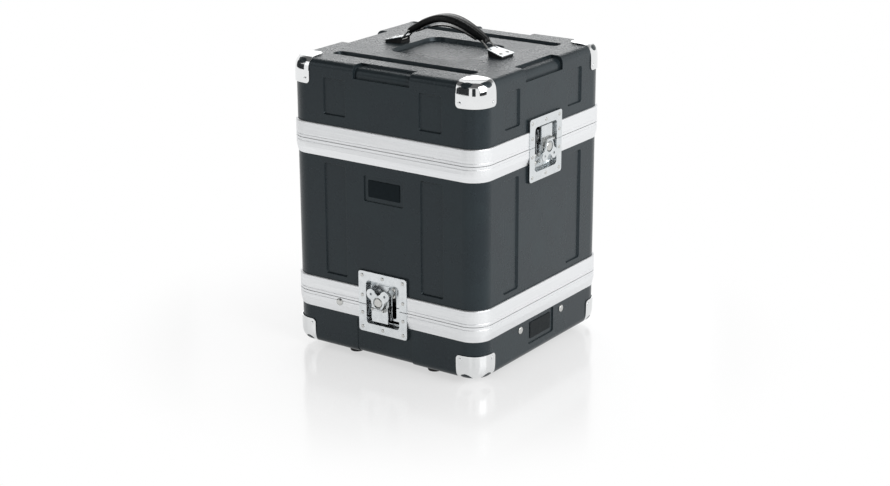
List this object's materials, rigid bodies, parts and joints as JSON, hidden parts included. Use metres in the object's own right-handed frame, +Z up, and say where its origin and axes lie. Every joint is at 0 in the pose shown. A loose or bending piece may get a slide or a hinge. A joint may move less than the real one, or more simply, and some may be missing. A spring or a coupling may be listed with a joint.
{
  "type": "wireless microphone case",
  "caption": "Moulded microphone case with hinged lid and base, aluminium valances, ball corners, recessed twist latches, foam inserts and a carrying handle.",
  "frame": {"origin": "on the floor, under the middle of the case", "axes": "+Z up, -Y is the front with the lower latch, +X is the right side with the lid's latch"},
  "size_m": [0.4099, 0.4099, 0.5835],
  "materials": {
    "black_plastic": "satin",
    "aluminium_valance": "satin",
    "chrome": "polished",
    "zinc_steel": "satin",
    "badge_plate": "satin",
    "rubber": "matte",
    "grip_leatherette": "satin",
    "shelf_ply": "matte",
    "foam": "matte"
  },
  "bodies": {
    "base": {"base_shell": "black_plastic", "base_valance": "aluminium_valance", "base_corner_caps": "chrome", "base_corner_rivets": "chrome", "base_rivets": "chrome", "base_badge_plate": "badge_plate", "base_foam": "foam", "feet": "rubber", "foot_screws": "zinc_steel", "front_keeper_dish": "zinc_steel", "front_keeper_rivets": "zinc_steel", "front_strike": "zinc_steel", "rear_hinge_base_leaves": "zinc_steel", "rear_hinge_pins": "zinc_steel", "rear_hinge_base_rivets": "zinc_steel"},
    "body": {"body_shell": "black_plastic", "body_lower_valance": "aluminium_valance", "body_upper_valance": "aluminium_valance", "body_badge_plate": "badge_plate", "shelf": "shelf_ply", "mic_foam": "foam", "receiver_foam": "foam", "front_latch_dish": "zinc_steel", "front_latch_rivets": "zinc_steel", "front_latch_plate": "zinc_steel", "side_latch_dish": "zinc_steel", "side_latch_rivets": "zinc_steel", "side_latch_plate": "zinc_steel", "rear_hinge_body_leaves": "zinc_steel", "rear_hinge_body_rivets": "zinc_steel", "side_hinge_body_leaves": "zinc_steel", "side_hinge_pins": "zinc_steel", "side_hinge_body_rivets": "zinc_steel"},
    "lid": {"lid_shell": "black_plastic", "lid_valance": "aluminium_valance", "lid_corner_caps": "chrome", "lid_corner_rivets": "chrome", "lid_foam": "foam", "handle_brackets": "chrome", "bracket_pads": "black_plastic", "bracket_screws": "chrome", "side_keeper_dish": "zinc_steel", "side_keeper_rivets": "zinc_steel", "side_strike": "zinc_steel", "side_hinge_lid_leaves": "zinc_steel", "side_hinge_lid_rivets": "zinc_steel"},
    "handle": {"handle_grip": "grip_leatherette", "handle_strap": "grip_leatherette", "handle_rings": "chrome"},
    "front_key": {"front_latch_key": "zinc_steel", "front_wing_pin": "zinc_steel"},
    "front_wing": {"front_latch_wing": "zinc_steel"},
    "front_hook": {"front_latch_hook": "zinc_steel"},
    "side_key": {"side_latch_key": "zinc_steel", "side_wing_pin": "zinc_steel"},
    "side_wing": {"side_latch_wing": "zinc_steel"},
    "side_hook": {"side_latch_hook": "zinc_steel"}
  },
  "joints": [
    {"name": "body_hinge", "type": "hinge", "parent": "base", "child": "body", "pos_m": [0, 0.2015, 0.1062], "axis": [-1, 0, 0], "range_deg": [0, 95]},
    {"name": "lid_hinge", "type": "hinge", "parent": "body", "child": "lid", "pos_m": [-0.2015, 0, 0.3845], "axis": [0, -1, 0], "range_deg": [0, 100]},
    {"name": "handle_lift", "type": "slide", "parent": "lid", "child": "handle", "axis": [0, 0, 1], "range_m": [0, 0.002]},
    {"name": "front_latch_turn", "type": "hinge", "parent": "body", "child": "front_key", "pos_m": [-0.0085, -0.2012, 0.1137], "axis": [0, -1, 0], "range_deg": [0, 180]},
    {"name": "front_wing_flip", "type": "hinge", "parent": "front_key", "child": "front_wing", "pos_m": [-0.0085, -0.2026, 0.1012], "axis": [1, 0, 0], "range_deg": [0, 90]},
    {"name": "front_hook_draw", "type": "slide", "parent": "body", "child": "front_hook", "axis": [0, 0.6247, 0.7809], "range_m": [0, 0.00512]},
    {"name": "side_latch_turn", "type": "hinge", "parent": "body", "child": "side_key", "pos_m": [0.2012, 0.0085, 0.377], "axis": [1, 0, 0], "range_deg": [0, 180]},
    {"name": "side_wing_flip", "type": "hinge", "parent": "side_key", "child": "side_wing", "pos_m": [0.2026, 0.0085, 0.3895], "axis": [0, -1, 0], "range_deg": [0, 90]},
    {"name": "side_hook_draw", "type": "slide", "parent": "body", "child": "side_hook", "axis": [-0.6247, 0, -0.7809], "range_m": [0, 0.00512]}
  ],
  "couplings": [
    {"joint": "front_hook_draw", "follows": "front_latch_turn", "m_per_rad": 0.0016305},
    {"joint": "side_hook_draw", "follows": "side_latch_turn", "m_per_rad": 0.0016305}
  ]
}
